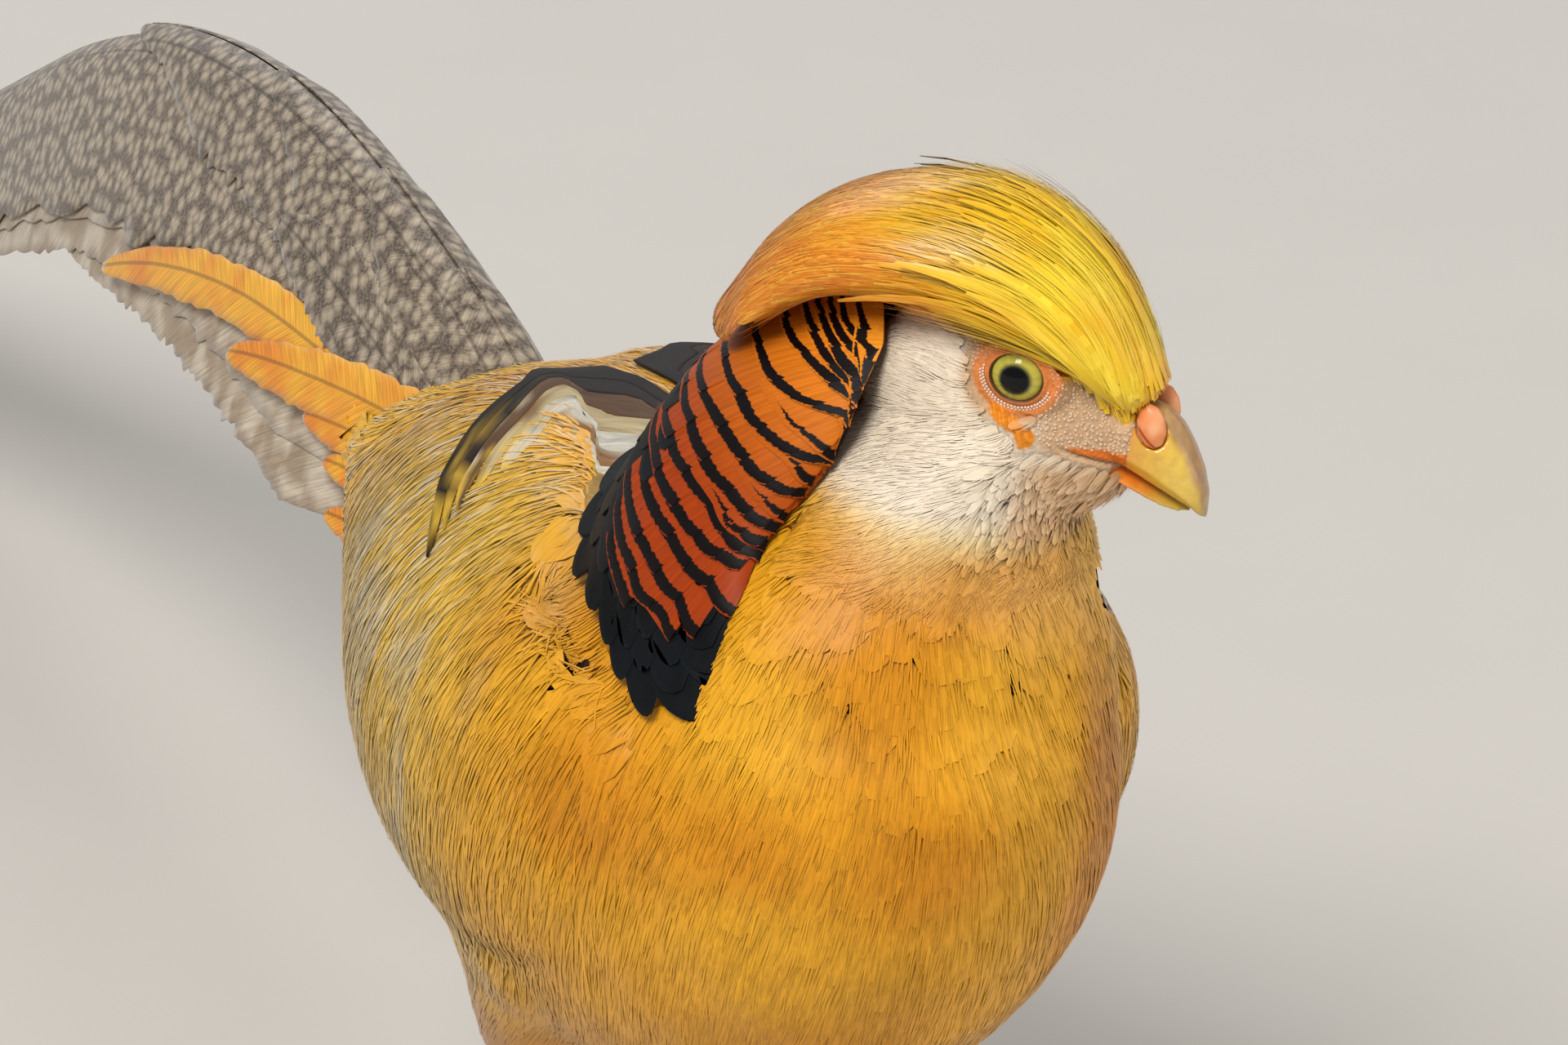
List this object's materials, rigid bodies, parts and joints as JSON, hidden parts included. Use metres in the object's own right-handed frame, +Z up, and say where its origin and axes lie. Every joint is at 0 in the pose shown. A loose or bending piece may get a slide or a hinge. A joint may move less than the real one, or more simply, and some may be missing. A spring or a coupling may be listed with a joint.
{
  "type": "golden pheasant cock",
  "caption": "Life-size standing golden pheasant cock of the yellow form, with a silky crest, a barred cape, folded wings and a long arched tail.",
  "frame": {"origin": "on the floor, under the middle of the bird's box", "axes": "+Z up, -Y the way the breast faces, +X to the bird's left"},
  "size_m": [0.1408, 0.8384, 0.315],
  "materials": {
    "body_feathers": "satin golden yellow feathers",
    "face": "pale buff skin with short bristly feathers",
    "crest_plumes": "silky golden plumes",
    "cape_feathers": "orange feathers barred black",
    "mantle_feathers": "slate-black scale-like feathers",
    "tertial_feathers": "dark brown, tan and white feathers",
    "wing_feathers": "loose straw-yellow feathers over grey",
    "marbled_feathers": "grey-brown feathers with pale spots",
    "side_tail_feathers": "pale brown-grey feathers",
    "orange_plumes": "narrow orange plumes",
    "bill": "yellow-olive horn",
    "nostril_flap": "orange fleshy skin",
    "eye": "wet, pale yellow-green iris round a black pupil",
    "leg_scales": "yellow-olive scales",
    "claw_horn": "brown horn"
  },
  "bodies": {
    "root": {"trunk": "body_feathers", "neck": "body_feathers", "thigh_right": "body_feathers", "thigh_left": "body_feathers", "head": "face", "crest": "crest_plumes", "cape": "cape_feathers", "mantle": "mantle_feathers", "eye_right": "eye", "eye_left": "eye", "bill_upper": "bill", "bill_lower": "bill", "nostril_flap_right": "nostril_flap", "nostril_flap_left": "nostril_flap", "wing_right_tertials": "tertial_feathers", "wing_left_tertials": "tertial_feathers", "wing_right_coverts": "wing_feathers", "wing_left_coverts": "wing_feathers", "wing_right_primaries": "wing_feathers", "wing_left_primaries": "wing_feathers", "tail_central_right": "marbled_feathers", "tail_central_left": "marbled_feathers", "tail_covert_right": "marbled_feathers", "tail_covert_left": "marbled_feathers", "tail_side_1_right": "side_tail_feathers", "tail_side_1_left": "side_tail_feathers", "tail_side_2_right": "side_tail_feathers", "tail_side_2_left": "side_tail_feathers", "tail_side_3_right": "side_tail_feathers", "tail_side_3_left": "side_tail_feathers", "tail_plume_1_right": "orange_plumes", "tail_plume_1_left": "orange_plumes", "tail_plume_2_right": "orange_plumes", "tail_plume_2_left": "orange_plumes", "shank_right": "leg_scales", "shank_left": "leg_scales", "toe_inner_right": "leg_scales", "toe_middle_right": "leg_scales", "toe_outer_right": "leg_scales", "toe_hind_right": "leg_scales", "toe_inner_left": "leg_scales", "toe_middle_left": "leg_scales", "toe_outer_left": "leg_scales", "toe_hind_left": "leg_scales", "claw_inner_right": "claw_horn", "claw_middle_right": "claw_horn", "claw_outer_right": "claw_horn", "claw_hind_right": "claw_horn", "claw_inner_left": "claw_horn", "claw_middle_left": "claw_horn", "claw_outer_left": "claw_horn", "claw_hind_left": "claw_horn", "spur_right": "claw_horn", "spur_left": "claw_horn"}
  },
  "joints": []
}
